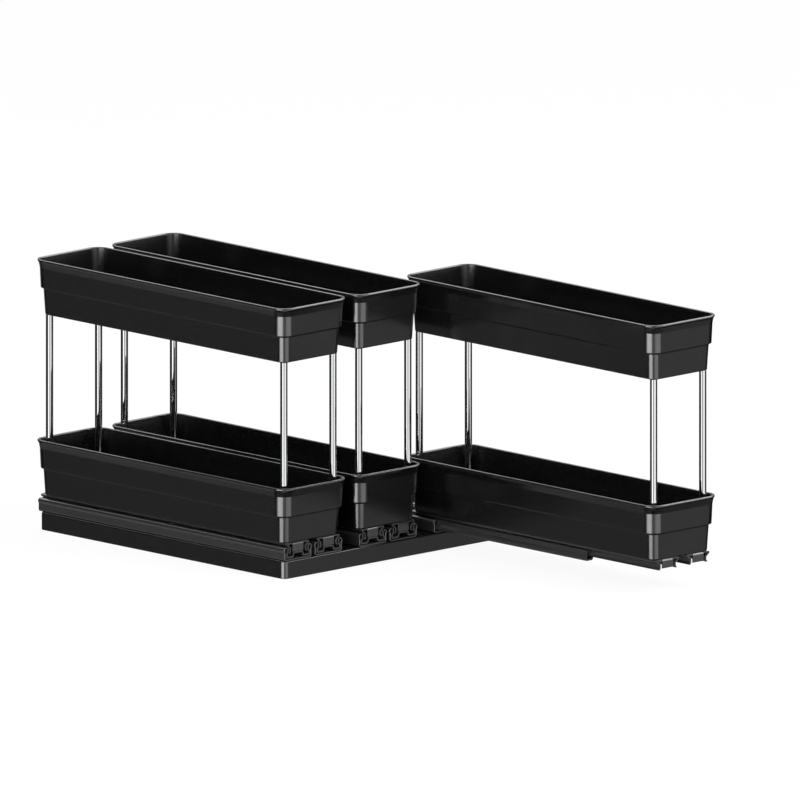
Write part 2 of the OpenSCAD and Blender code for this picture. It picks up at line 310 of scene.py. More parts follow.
@dataclass(frozen=True)
class MouldedPlastic(Finish):
    """Satin moulded plastic with a fine grain and a slightly uneven gloss."""

    grain: float = 0.35
    grain_depth: float = 0.004
    patch: float = 38.0
    shade_finer: float = 6.0
    shade_spread: float = 0.15
    unevenness: float = 0.05

    def surface(self, board: Board) -> dict[str, Any]:
        """The grain, the uneven gloss and a faint change of shade.

        Args:
            board: The material's nodes.

        Returns:
            Values and wires for the shader.
        """
        gloss = board.noise(self.patch, 3.0)
        shade = board.noise(self.patch / self.shade_finer, 2.0)
        grain = board.noise(self.grain, 1.0)
        return {
            "Base Color": board.tint(shade, *around(self.colour, self.shade_spread)),
            "Roughness": (gloss - 0.5) * self.unevenness + self.roughness,
            "Normal": board.bump(grain, self.grain_depth),
        }


@dataclass(frozen=True)
class CoatedSteel(Finish):
    """Strip steel under black coating, with a soft orange peel."""

    peel: float = 1.6
    peel_depth: float = 0.006
    speck_finer: float = 5.0
    speck_spread: float = 0.2
    unevenness: float = 0.12

    def surface(self, board: Board) -> dict[str, Any]:
        """The peel of the coating and finer specks of sheen.

        Args:
            board: The material's nodes.

        Returns:
            Values and wires for the shader.
        """
        peel = board.noise(self.peel, 2.0)
        speck = board.noise(self.peel / self.speck_finer, 1.0)
        return {
            "Base Color": board.tint(speck, *around(self.colour, self.speck_spread)),
            "Roughness": (peel - 0.5) * self.unevenness + self.roughness,
            "Normal": board.bump(peel, self.peel_depth),
        }


@dataclass(frozen=True)
class Chrome(Finish):
    """Polished chrome plate with faint lines round the rod."""

    line: float = 1.2
    line_stretch: tuple[float, float, float] = (0.15, 0.15, 4.0)
    line_shade: float = 0.94

    def surface(self, board: Board) -> dict[str, Any]:
        """Faint polishing lines, which lie round the post.

        Args:
            board: The material's nodes.

        Returns:
            Values and wires for the shader.
        """
        lines = board.noise(self.line, 3.0, Vector(self.line_stretch))
        return {
            "Base Color": board.tint(lines, scaled(self.colour, self.line_shade), self.colour),
            "Roughness": self.roughness,
        }


@dataclass(frozen=True)
class DrawnSteel(Finish):
    """Bare or zinc-plated steel with fine marks and a mottled plate."""

    mark: float = 0.9
    mark_stretch: tuple[float, float, float] = (1.0, 0.12, 1.0)
    mark_depth: float = 0.003
    mark_dulls: float = 0.16
    patch_dulls: float = 0.08
    patch_shade: float = 0.82

    def surface(self, board: Board) -> dict[str, Any]:
        """Marks of the tool, and patches of duller plate.

        Args:
            board: The material's nodes.

        Returns:
            Values and wires for the shader.
        """
        marks = board.noise(self.mark, 3.0, Vector(self.mark_stretch))
        patches = board.noise(self.mark * 3, 2.0)
        return {
            "Base Color": board.tint(patches, scaled(self.colour, self.patch_shade), self.colour),
            "Roughness": marks * self.mark_dulls + patches * self.patch_dulls + self.roughness,
            "Normal": board.bump(marks, self.mark_depth),
        }


@dataclass(frozen=True)
class FoamPad(Finish):
    """Closed-cell adhesive foam."""

    cell: float = 0.5
    cell_depth: float = 0.03
    cell_spread: float = 0.3
    unevenness: float = 0.08

    def surface(self, board: Board) -> dict[str, Any]:
        """The foam's cells.

        Args:
            board: The material's nodes.

        Returns:
            Values and wires for the shader.
        """
        cells = board.add(
            "ShaderNodeTexVoronoi", None, {"Vector": board.place(), "Scale": 1 / (self.cell * MM)}
        )
        return {
            "Base Color": board.tint(cells, *around(self.colour, self.cell_spread)),
            "Roughness": cells * self.unevenness + self.roughness,
            "Normal": board.bump(cells, self.cell_depth),
        }


BASKET_PLASTIC = MouldedPlastic(
    "basket_finish", "basket_plastic", (0.0060, 0.0060, 0.0062), 0.20, specular=0.7
)
BASE_PLASTIC = MouldedPlastic(
    "base_finish", "base_plastic", (0.0060, 0.0060, 0.0062), 0.21, specular=0.7
)
SLIDE_BLACK = CoatedSteel(
    "slide_finish", "slide_black", (0.048, 0.048, 0.049), 0.22, specular=0.9
)
POST_CHROME = Chrome("post_finish", "post_chrome", (0.80, 0.805, 0.815), 0.0, metallic=1.0)
SCREW_STEEL = DrawnSteel("screw_finish", "screw_steel", (0.42, 0.42, 0.43), 0.24, metallic=1.0)
CAGE_STEEL = DrawnSteel("cage_finish", "cage_steel", (0.55, 0.55, 0.54), 0.22, metallic=1.0)
BALL_STEEL = DrawnSteel(
    "ball_finish", "ball_steel", (0.75, 0.76, 0.78), 0.06, 1.0, mark=4.0,
    mark_stretch=(1.0, 1.0, 1.0),
)
PAD_FOAM = FoamPad("pad_finish", "pad_rubber", (0.012, 0.012, 0.012), 0.85)


# ---- Working a mesh -----------------------------------------------------------------


@dataclass(frozen=True)
class Bend:
    """A corner of a sheet's section, with the radius of its bend."""

    x: float
    z: float
    radius: float = 0.0


@dataclass(frozen=True)
class Step:
    """One step of a shell's wall: how far it goes in and down, and the edge that follows.

    A corner is the radius that the wall's corners have after it. Without one they keep
    the same centre, as the sides of an even offset do.
    """

    inward: float
    drop: float
    radius: float
    corner: float | None = None


class Workpiece:
    """A mesh under construction, in millimetres."""

    def __init__(self) -> None:
        """Starts with nothing."""
        self.bm = bmesh.new()

    def rounded_face(self, width: float, length: float, radius: float, z: float) -> Face:
        """Adds a flat face with rounded corners.

        Args:
            width: Its size along X.
            length: Its size along Y.
            radius: The radius of its corners.
            z: Its height.

        Returns:
            The face.
        """
        shape = Matrix.Translation(upright(z)) @ Matrix.Diagonal((width, length, 1, 1))
        verts = bmesh.ops.create_grid(
            self.bm, x_segments=1, y_segments=1, size=0.5, matrix=shape
        )["verts"]
        face = verts[0].link_faces[0]
        if radius:
            made = bmesh.ops.bevel(
                self.bm, geom=verts, offset=radius, affect="VERTICES",
                segments=CORNER_STEPS, profile=0.5, material=-1,
            )
            face = made["verts"][0].link_faces[0]
        return face

    def prism(self, face: Face, height: float) -> tuple[Face, Face]:
        """Raises a lone face into a closed block.

        Args:
            face: The face, which becomes the block's underside.
            height: The block's height.

        Returns:
            The underside and the top.
        """
        made = bmesh.ops.extrude_face_region(self.bm, geom=[face])["geom"]
        top = next(g for g in made if isinstance(g, bmesh.types.BMFace))
        moved = [g for g in made if isinstance(g, bmesh.types.BMVert)]
        bmesh.ops.translate(self.bm, verts=moved, vec=upright(height))
        bmesh.ops.recalc_face_normals(self.bm, faces=self.bm.faces)
        return face, top

    def walk_in(
        self, face: Face, steps: Sequence[Step], outwards: bool, corner: float = 0.0
    ) -> list[tuple[list[Edge], float]]:
        """Steps a face inwards, which leaves a wall behind it.

        Args:
            face: The face that moves.
            steps: The wall's steps, in order.
            outwards: Whether the face moves the way it faces, or into the block.
            corner: The radius of the face's corners at the start.

        Returns:
            The edges that follow each step, with the radius that they are to have.
        """
        sign = 1 if outwards else -1
        loops = []
        for step in steps:
            bmesh.ops.inset_region(
                self.bm, faces=[face], thickness=step.inward, depth=sign * step.drop,
                use_even_offset=True, use_boundary=True,
            )
            corner -= step.inward
            if step.corner is not None:
                self.round_anew(face, corner, step.corner)
                corner = step.corner
            loops.append((list(face.edges), step.radius))
        return loops

    def round_anew(self, face: Face, corner: float, wanted: float) -> None:
        """Gives a face other corners, with its sides where they are.

        Args:
            face: The face, which is centred on the origin.
            corner: The radius of its corners.
            wanted: The radius that they get.
        """
        reach_x = max(v.co.x for v in face.verts)
        reach_y = max(v.co.y for v in face.verts)
        for vert in face.verts:
            side = Vector((math.copysign(1, vert.co.x), math.copysign(1, vert.co.y), 0))
            centre = Vector((side.x * (reach_x - corner), side.y * (reach_y - corner), vert.co.z))
            vert.co = centre + (vert.co - centre) * (wanted / corner) + side * (corner - wanted)

    def round_edges(self, edges: Iterable[Edge], radius: float, steps: int = 3) -> None:
        """Rounds edges to a radius.

        Args:
            edges: The edges, all of one angle.
            radius: The radius of the rounding.
            steps: How many faces go round it.
        """
        edges = [e for e in edges if e.is_valid]
        turn = edges[0].calc_face_angle(math.pi / 2)
        bmesh.ops.bevel(
            self.bm, geom=edges, offset=radius * math.tan(turn / 2), affect="EDGES",
            segments=steps, profile=0.5, material=-1,
        )

    def block(self, size: Vector, at: Vector, edge: float) -> None:
        """Adds a block with softened edges.

        Args:
            size: Its sizes along X, Y and Z.
            at: The middle of its underside.
            edge: The radius of its edges.
        """
        middle = at + upright(size.z / 2)
        shape = Matrix.Translation(middle) @ Matrix.Diagonal((*size, 1))
        verts = bmesh.ops.create_cube(self.bm, size=1, matrix=shape)["verts"]
        edges = {e for v in verts for e in v.link_edges}
        self.round_edges(edges, edge, 2)

    def lathe(self, profile: Sequence[tuple[float, float]], at: Vector, closed: bool) -> None:
        """Turns a profile round an upright axis.

        Args:
            profile: Radii and heights.
            at: Where the axis stands, and the height of the profile's zero.
            closed: Whether the profile's end joins its start, as in a ring.
        """
        verts = [self.bm.verts.new(at + Vector((r, 0, z))) for r, z in profile]
        pairs = list(zip(verts, verts[1:]))
        if closed:
            pairs.append((verts[-1], verts[0]))
        edges = [self.bm.edges.new(pair) for pair in pairs]
        before = set(self.bm.faces)
        bmesh.ops.spin(
            self.bm, geom=verts + edges, cent=at, axis=(0, 0, 1), angle=2 * math.pi,
            steps=ROUND_STEPS, use_merge=True,
        )
        made = [f for f in self.bm.faces if f not in before]
        turned = list({v for f in made for v in f.verts})
        bmesh.ops.remove_doubles(self.bm, verts=turned, dist=WELD)
        bmesh.ops.recalc_face_normals(self.bm, faces=[f for f in made if f.is_valid])

    def bent_strip(self, bends: Sequence[Bend], length: float) -> None:
        """Adds a sheet, symmetric about X = 0, drawn out along the pull.

        Args:
            bends: Half of its section, from the middle outwards.
            length: Its length.
        """
        verts = [self.bm.verts.new((b.x, -length / 2, b.z)) for b in bends]
        for pair in zip(verts, verts[1:]):
            self.bm.edges.new(pair)
        self.mirror_and_draw(length)
        for bend in bends:
            if bend.radius:
                self.round_edges(self.edges_at(bend), bend.radius, BEND_STEPS)

    def mirror_and_draw(self, length: float) -> None:
        """Mirrors the wire drawn so far across X = 0, and draws it out along the pull.

        Args:
            length: The length of the sheet that it becomes.
        """
        wire = list(self.bm.verts) + list(self.bm.edges)
        bmesh.ops.mirror(self.bm, geom=wire, axis="X", merge_dist=NEAR)
        made = bmesh.ops.extrude_edge_only(self.bm, edges=list(self.bm.edges))["geom"]
        moved = [g for g in made if isinstance(g, bmesh.types.BMVert)]
        bmesh.ops.translate(self.bm, verts=moved, vec=(0, length, 0))
        bmesh.ops.recalc_face_normals(self.bm, faces=self.bm.faces)

    def edges_at(self, bend: Bend) -> list[Edge]:
        """The edges along the pull that lie at a bend, on both sides.

        Args:
            bend: The bend.

        Returns:
            The edges.
        """
        return [
            e
            for e in self.bm.edges
            if all(
                abs(abs(v.co.x) - bend.x) < NEAR and abs(v.co.z - bend.z) < NEAR
                for v in e.verts
            )
        ]

    def mesh(self, name: str) -> bpy.types.Mesh:
        """Ends the work.

        Args:
            name: The mesh's name.

        Returns:
            The mesh, smooth-shaded and in metres.
        """
        bmesh.ops.scale(self.bm, vec=(MM, MM, MM), verts=self.bm.verts)
        made = mesh_of(self.bm, name)
        made.shade_smooth()
        return made


def mesh_of(work: bmesh.types.BMesh, name: str) -> bpy.types.Mesh:
    """Ends the work on a mesh, and names it.

    Args:
        work: The work, which is freed.
        name: The mesh's name.

    Returns:
        The mesh.
    """
    made = bpy.data.meshes.new(name)
    work.to_mesh(made)
    work.free()
    return made


def in_scene(name: str, data: bpy.types.ID) -> bpy.types.Object:
    """Adds an object to the scene.

    Args:
        name: The object's name.
        data: Its mesh, lamp or camera.

    Returns:
        The object.
    """
    made = bpy.data.objects.new(name, data)
    bpy.context.scene.collection.objects.link(made)
    return made


def cut(mesh: bpy.types.Mesh, cutter: bpy.types.Mesh) -> bpy.types.Mesh:
    """Takes a cutter's shapes out of a mesh.

    Args:
        mesh: The mesh, in metres.
        cutter: The shapes, in metres, which may cross each other.

    Returns:
        The mesh that is left.
    """
    body, tool = in_scene("cut_body", mesh), in_scene("cut_tool", cutter)
    work = body.modifiers.new("cut", "BOOLEAN")
    work.operation, work.solver, work.object = "DIFFERENCE", "EXACT", tool
    work.use_self = True
    graph = bpy.context.evaluated_depsgraph_get()
    made = bpy.data.meshes.new_from_object(body.evaluated_get(graph))
    for part in (body, tool):
        bpy.data.objects.remove(part)
    made.shade_smooth()
    return made


def joined(name: str, meshes: Sequence[tuple[bpy.types.Mesh, Vector]]) -> bpy.types.Mesh:
    """Sets meshes down in one mesh.

    Args:
        name: The new mesh's name.
        meshes: Each mesh, and where it goes in metres.

    Returns:
        The joined mesh.
    """
    whole = bmesh.new()
    for mesh, at in meshes:
        copy = mesh.copy()
        copy.transform(Matrix.Translation(at))
        whole.from_mesh(copy)
        bpy.data.meshes.remove(copy)
    made = mesh_of(whole, name)
    made.shade_smooth()
    return made


# ---- Pieces -------------------------------------------------------------------------


@dataclass(frozen=True)
class Sheetmetal:
    """What turns a bent sheet into strip steel: its thickness and its broken edges.

    Edges that turn by more than the sharp angle, in degrees, are broken.
    """

    thickness: float
    edge: float = 0.22
    edge_steps: int = 2
    sharp: float = 50.0


class Stock:
    """A finished shape that can be set down in several places."""

    def __init__(
        self, mesh: bpy.types.Mesh, finish: Finish, sheet: Sheetmetal | None = None
    ) -> None:
        """Keeps a shape and its finish.

        Args:
            mesh: The shape, in metres.
            finish: What it is dressed in.
            sheet: For a bent sheet, its thickness and edges.
        """
        self.mesh = mesh
        self.finish = finish
        self.sheet = sheet

    def set_down(self, name: str, at: Vector, body: str, *nodes: str) -> bpy.types.Object:
        """Puts a copy in its place in the frame.

        Args:
            name: The piece's name.
            at: Its place, in metres.
            body: The body that carries it.
            nodes: The frame's nodes that it stands for.

        Returns:
            The piece.
        """
        mesh = self.mesh.copy()
        mesh.name = name
        mesh.transform(Matrix.Translation(at))
        piece = in_scene(name, mesh)
        mesh.materials.clear()
        mesh.materials.append(self.finish.material())
        if self.sheet is not None:
            self._thicken(piece, self.sheet)
        normals = piece.modifiers.new("even_shading", "WEIGHTED_NORMAL")
        normals.keep_sharp = True
        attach(piece, body)
        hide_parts(*nodes)
        log.info("%s on %s, %d faces", name, body, len(mesh.polygons))
        return piece

    def _thicken(self, piece: bpy.types.Object, sheet: Sheetmetal) -> None:
        """Gives a sheet its thickness and breaks its edges.

        Args:
            piece: The sheet.
            sheet: Its thickness and edges.
        """
        wall = piece.modifiers.new("thickness", "SOLIDIFY")
        wall.thickness = sheet.thickness * MM
        wall.offset = 0
        wall.use_even_offset = True
        edge = piece.modifiers.new("broken_edges", "BEVEL")
        edge.width = sheet.edge * MM
        edge.segments = sheet.edge_steps
        edge.limit_method = "ANGLE"
        edge.angle_limit = math.radians(sheet.sharp)
        edge.harden_normals = False


@dataclass(frozen=True)
class Seat:
    """The box of one of the frame's nodes, in millimetres."""

    low: Vector
    high: Vector

    @classmethod
    def of(cls, node: str) -> Seat:
        """The box of a node."""
        low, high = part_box(node)
        return cls(low / MM, high / MM)

    @property
    def size(self) -> Vector:
        """Its sizes along X, Y and Z."""
        return self.high - self.low

    @property
    def middle(self) -> Vector:
        """Its centre."""
        return (self.low + self.high) / 2

    @property
    def foot(self) -> Vector:
        """The centre of its underside."""
        return Vector((self.middle.x, self.middle.y, self.low.z))


class Column(Enum):
    """The three columns, by the name that the frame gives them."""

    LEFT = "left"
    MIDDLE = "middle"
    RIGHT = "right"

    def node(self, piece: str) -> str:
        """The name of one of the column's nodes or bodies."""
        return f"{self.value}_{piece}"

    @property
    def body(self) -> str:
        """The body that carries the baskets."""
        return self.node("column")


class Tier(Enum):
    """The two baskets of a column."""

    LOWER = "lower_basket"
    UPPER = "upper_basket"


class Corner(Enum):
    """The four posts of a column."""

    FRONT_LEFT = "post_front_left"
    FRONT_RIGHT = "post_front_right"
    REAR_LEFT = "post_rear_left"
    REAR_RIGHT = "post_rear_right"


class Slide(Enum):
    """The two slides of a column."""

    LEFT = "left"
    RIGHT = "right"


@dataclass(frozen=True)
class ScrewSizes:
    """Sizes shared by the screws and the holes that they sit in."""

    shank: float = 1.25
    clearance: float = 0.05
    head: float = 2.3
    pan_head: float = 2.6
    pan_height: float = 1.7
    pan_skirt: float = 0.4
    crown: float = 0.72
    shoulder: float = 0.93
    shoulder_rise: float = 0.72
    head_edge: float = 0.08
    recess_reach: float = 1.45
    recess_width: float = 0.55
    recess_depth: float = 0.8
    recess_edge: float = 0.05
    recess_step: float = 0.02
    recess_taper: float = 0.55
    recess_tip: float = 0.35
    thread_pitch: float = 1.1
    thread_depth: float = 0.18
    neck: float = 0.6
    point: float = 1.0

    @property
    def hole(self) -> float:
        """The radius of a hole."""
        return self.shank + self.clearance

    @property
    def head_height(self) -> float:
        """The height of a countersunk head, whose cone has a right angle."""
        return self.head - self.shank

    def recess(self, top: float) -> bpy.types.Mesh:
        """The cross that a driver turns.

        Its two arms differ by a small step, so that no faces of theirs lie in one plane.

        Args:
            top: The height of the head's top.

        Returns:
            The cutter's mesh.
        """
        reach, width, depth = 2 * self.recess_reach, self.recess_width, 2 * self.recess_depth
        step = self.recess_step
        work = Workpiece()
        for across in (
            Vector((reach, width, depth)),
            Vector((width, reach - step, depth + step * self.recess_depth)),
        ):
            work.block(across, upright(top - self.recess_depth), self.recess_edge)
        tip = top - self.recess_depth * self.recess_tip
        taper = (self.recess_taper, self.recess_taper, 1)
        bmesh.ops.scale(work.bm, vec=taper, verts=[v for v in work.bm.verts if v.co.z < tip])
        return work.mesh("recess")

    def shank_profile(self, start: float, length: float) -> list[tuple[float, float]]:
        """The shank of a screw that points down, with the crests of its thread.

        Args:
            start: The height where the shank begins.
            length: How far its tip lies below zero.

        Returns:
            Radii and heights, down to the tip.
        """
        core = self.shank - self.thread_depth
        profile = [(self.shank, start)]
        z = start - self.neck
        while z - self.thread_pitch > -length + self.point:
            profile += [(core, z), (self.shank, z - self.thread_pitch / 2)]
            z -= self.thread_pitch
        return profile + [(core, z), (core / 2, -length), (0.0, -length)]

    def countersunk(self, length: float) -> bpy.types.Mesh:
        """A countersunk screw that points down, its head's face at zero.

        Args:
            length: Its whole length.

        Returns:
            The screw.
        """
        work = Workpiece()
        edge = self.head_edge
        profile = [(0.0, 0.0), (self.head - edge, 0.0), (self.head, -edge)]
        profile += self.shank_profile(-self.head_height, length)
        work.lathe(profile, ORIGIN, closed=False)
        return cut(work.mesh("countersunk_screw"), self.recess(0.0))

    def pan(self, length: float) -> bpy.types.Mesh:
        """A pan-head screw that points down, its head standing on zero.

        Args:
            length: How far its shank reaches below zero.

        Returns:
            The screw.
        """
        work = Workpiece()
        reach, top = self.pan_head, self.pan_height
        profile = [(0.0, top), (reach * self.crown, top - self.head_edge)]
        profile += [(reach * self.shoulder, top * self.shoulder_rise)]
        profile += [(reach, self.pan_skirt), (reach, 0.0)]
        profile += self.shank_profile(0.0, length)
        work.lathe(profile, ORIGIN, closed=False)
        return cut(work.mesh("pan_screw"), self.recess(self.pan_height))


SCREW = ScrewSizes()


@dataclass(frozen=True)
class BasketMaker:
    """Sizes of one basket, up from its underside and in from its rim, and how it is made."""

    wall: float = 1.8
    floor: float = 2.0
    rim_radius: float = 11.5
    lip_height: float = 1.3
    lip_width: float = 2.3
    lip_edge: float = 0.8
    curl_height: float = 1.3
    curl_in: float = 0.9
    flare_height: float = 4.0
    flare_in: float = 0.8
    band_draft: float = 0.5
    ledge_height: float = 20.7
    ledge_rise: float = 1.3
    ledge_in: float = 2.5
    foot_draft: float = 0.9
    foot_radius: float = 6.4
    curl_edge: float = 0.5
    wall_edge: float = 0.3
    foot_edge: float = 0.8
    floor_edge: float = 1.2
    floor_ease: float = 0.1
    boss_lip: float = 0.25
    boss_edge: float = 0.2

    @property
    def boss_top(self) -> float:
        """The height of the corner bosses, level with the ledge inside."""
        return self.ledge_height + self.wall / 2

    @property
    def band_radius(self) -> float:
        """The radius of the upper band's corners."""
        return self.rim_radius - self.curl_in - self.flare_in

    def outside(self, height: float) -> list[Step]:
        """The wall's outside, from the lip down to the foot.

        Args:
            height: The basket's height.

        Returns:
            The steps.
        """
        top = self.lip_height + self.curl_height + self.flare_height
        band, low = height - top - self.ledge_height, self.ledge_height - self.ledge_rise
        return [
            Step(self.curl_in, self.curl_height, self.curl_edge),
            Step(self.flare_in, self.flare_height, self.curl_edge),
            Step(self.band_draft, band, self.wall_edge, self.band_radius),
            Step(self.ledge_in, self.ledge_rise, self.wall_edge, self.foot_radius),
            Step(self.foot_draft, low, self.foot_edge, self.foot_radius),
        ]

    def inside(self, height: float) -> list[Step]:
        """The wall's inside, from the rim's outer edge down to the floor.

        Args:
            height: The basket's height.

        Returns:
            The steps.
        """
        band_in = self.curl_in + self.flare_in + self.band_draft + self.wall - self.lip_width
        band, foot = self.band_radius - self.wall, self.foot_radius - self.wall
        low = self.boss_top - self.ledge_rise - self.floor
        return [
            Step(self.lip_width, 0.0, self.lip_edge),
            Step(band_in, height - self.boss_top, self.wall_edge, band),
            Step(self.ledge_in, self.ledge_rise, self.wall_edge, foot),
            Step(self.foot_draft - self.floor_ease, low, self.floor_edge, foot),
        ]

    def shell(self, size: Vector) -> bpy.types.Mesh:
        """The moulded shell without its holes.

        Args:
            size: The basket's width, length and height.

        Returns:
            The shell, standing on zero.
        """
        work = Workpiece()
        face = work.rounded_face(size.x, size.y, self.rim_radius, size.z - self.lip_height)
        under, top = work.prism(face, self.lip_height)
        loops = [(list(under.edges), self.wall_edge), (list(top.edges), self.lip_edge)]
        loops += work.walk_in(under, self.outside(size.z), True, self.rim_radius)
        loops += work.walk_in(top, self.inside(size.z), False, self.rim_radius)
        for edges, radius in loops:
            work.round_edges(edges, radius)
        return work.mesh("basket_shell")

    def boss(self, post_radius: float) -> bpy.types.Mesh:
        """A corner boss, with the hole and the countersink of its screw.

        Args:
            post_radius: The radius of the post on it.

        Returns:
            The boss, standing on zero.
        """
        radius = post_radius + self.boss_lip
        top, sink = self.boss_top, SCREW.head + SCREW.clearance
        low, edge = self.floor / 2, self.boss_edge
        profile = [
            (SCREW.hole, low), (radius, low), (radius, top - edge), (radius - edge, top),
            (sink, top), (SCREW.hole, top - (sink - SCREW.hole)),
        ]
        work = Workpiece()
        work.lathe(profile, ORIGIN, closed=True)
        return work.mesh("boss")

    def holes(self, posts: Sequence[Vector], screws: Sequence[Vector]) -> bpy.types.Mesh:
        """The cutter for the holes in the floor.

        Args:
            posts: Where the post screws go through, which are sunk from below.
            screws: Where the slide screws go through, which are sunk from above.

        Returns:
            The cutter.
        """
        sink = SCREW.head + SCREW.clearance
        from_below = [
            (0.0, -PAST), (sink + PAST, -PAST), (SCREW.hole, sink - SCREW.hole),
            (SCREW.hole, self.floor + PAST), (0.0, self.floor + PAST),
        ]
        from_above = [(r, self.floor - z) for r, z in from_below]
        work = Workpiece()
        for profile, places in ((from_below, posts), (from_above, screws)):
            for at in places:
                work.lathe(profile, Vector((at.x, at.y, 0)), closed=False)
        return work.mesh("floor_holes")

    def make(
        self, size: Vector, posts: Sequence[Vector], post_radius: float,
        screws: Sequence[Vector],
    ) -> bpy.types.Mesh:
        """The whole basket.

        Args:
            size: Its width, length and height.
            posts: The posts' axes, from the basket's centre.
            post_radius: The radius of a post.
            screws: The slide screws' axes, from the basket's centre.

        Returns:
            The basket, standing on zero.
        """
        shell = cut(self.shell(size), self.holes(posts, screws))
        boss = self.boss(post_radius)
        parts = [(shell, ORIGIN)]
        parts += [(boss, Vector((at.x, at.y, 0)) * MM) for at in posts]
        return joined("basket", parts)


@dataclass(frozen=True)
class PostMaker:
    """A chromed rod, drilled at both ends for its screws."""

    chamfer: float = 0.35
    chamfer_knee: float = 0.3
    bore_depth: float = 10.0

    def make(self, radius: float, length: float) -> bpy.types.Mesh:
        """The post, standing on zero.

        Args:
            radius: Its radius.
            length: Its length.

        Returns:
            The post.
        """
        edge, knee = self.chamfer, self.chamfer * self.chamfer_knee
        half = [
            (0.0, self.bore_depth), (SCREW.hole, self.bore_depth), (SCREW.hole, 0.0),
            (radius - edge, 0.0), (radius - knee, knee), (radius, edge),
        ]
        profile = half + [(r, length - z) for r, z in reversed(half)]
        work = Workpiece()
        work.lathe(profile, ORIGIN, closed=False)
        return work.mesh("post")


